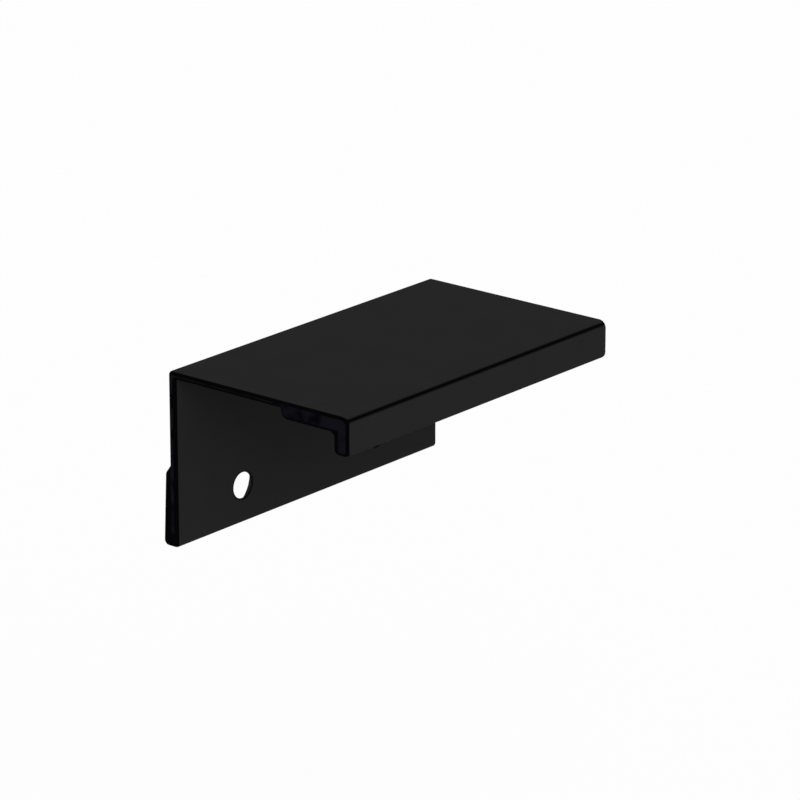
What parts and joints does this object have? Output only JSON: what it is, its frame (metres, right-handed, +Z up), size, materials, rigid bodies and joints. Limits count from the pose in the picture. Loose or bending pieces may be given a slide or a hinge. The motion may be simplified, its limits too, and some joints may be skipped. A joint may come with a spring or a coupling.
{
  "type": "door pull handle",
  "caption": "Edge pull of L section for a door or drawer front: a thin flange over the board's edge, a screwed wall behind the board, and a grip in front with a short down-turned lip.",
  "frame": {"origin": "midway between the centres of the two screw holes, on the wall's seat face, which meets the back of the board", "axes": "+X along the pull, from hole to hole; +Y out of the wall's back, where the screw heads are, so the grip stands out towards -Y; +Z up, from the wall to the flange"},
  "size_m": [0.0622, 0.0369, 0.0281],
  "materials": {
    "black_coat": "matte"
  },
  "bodies": {
    "root": {"edge_pull": "black_coat"}
  },
  "joints": []
}
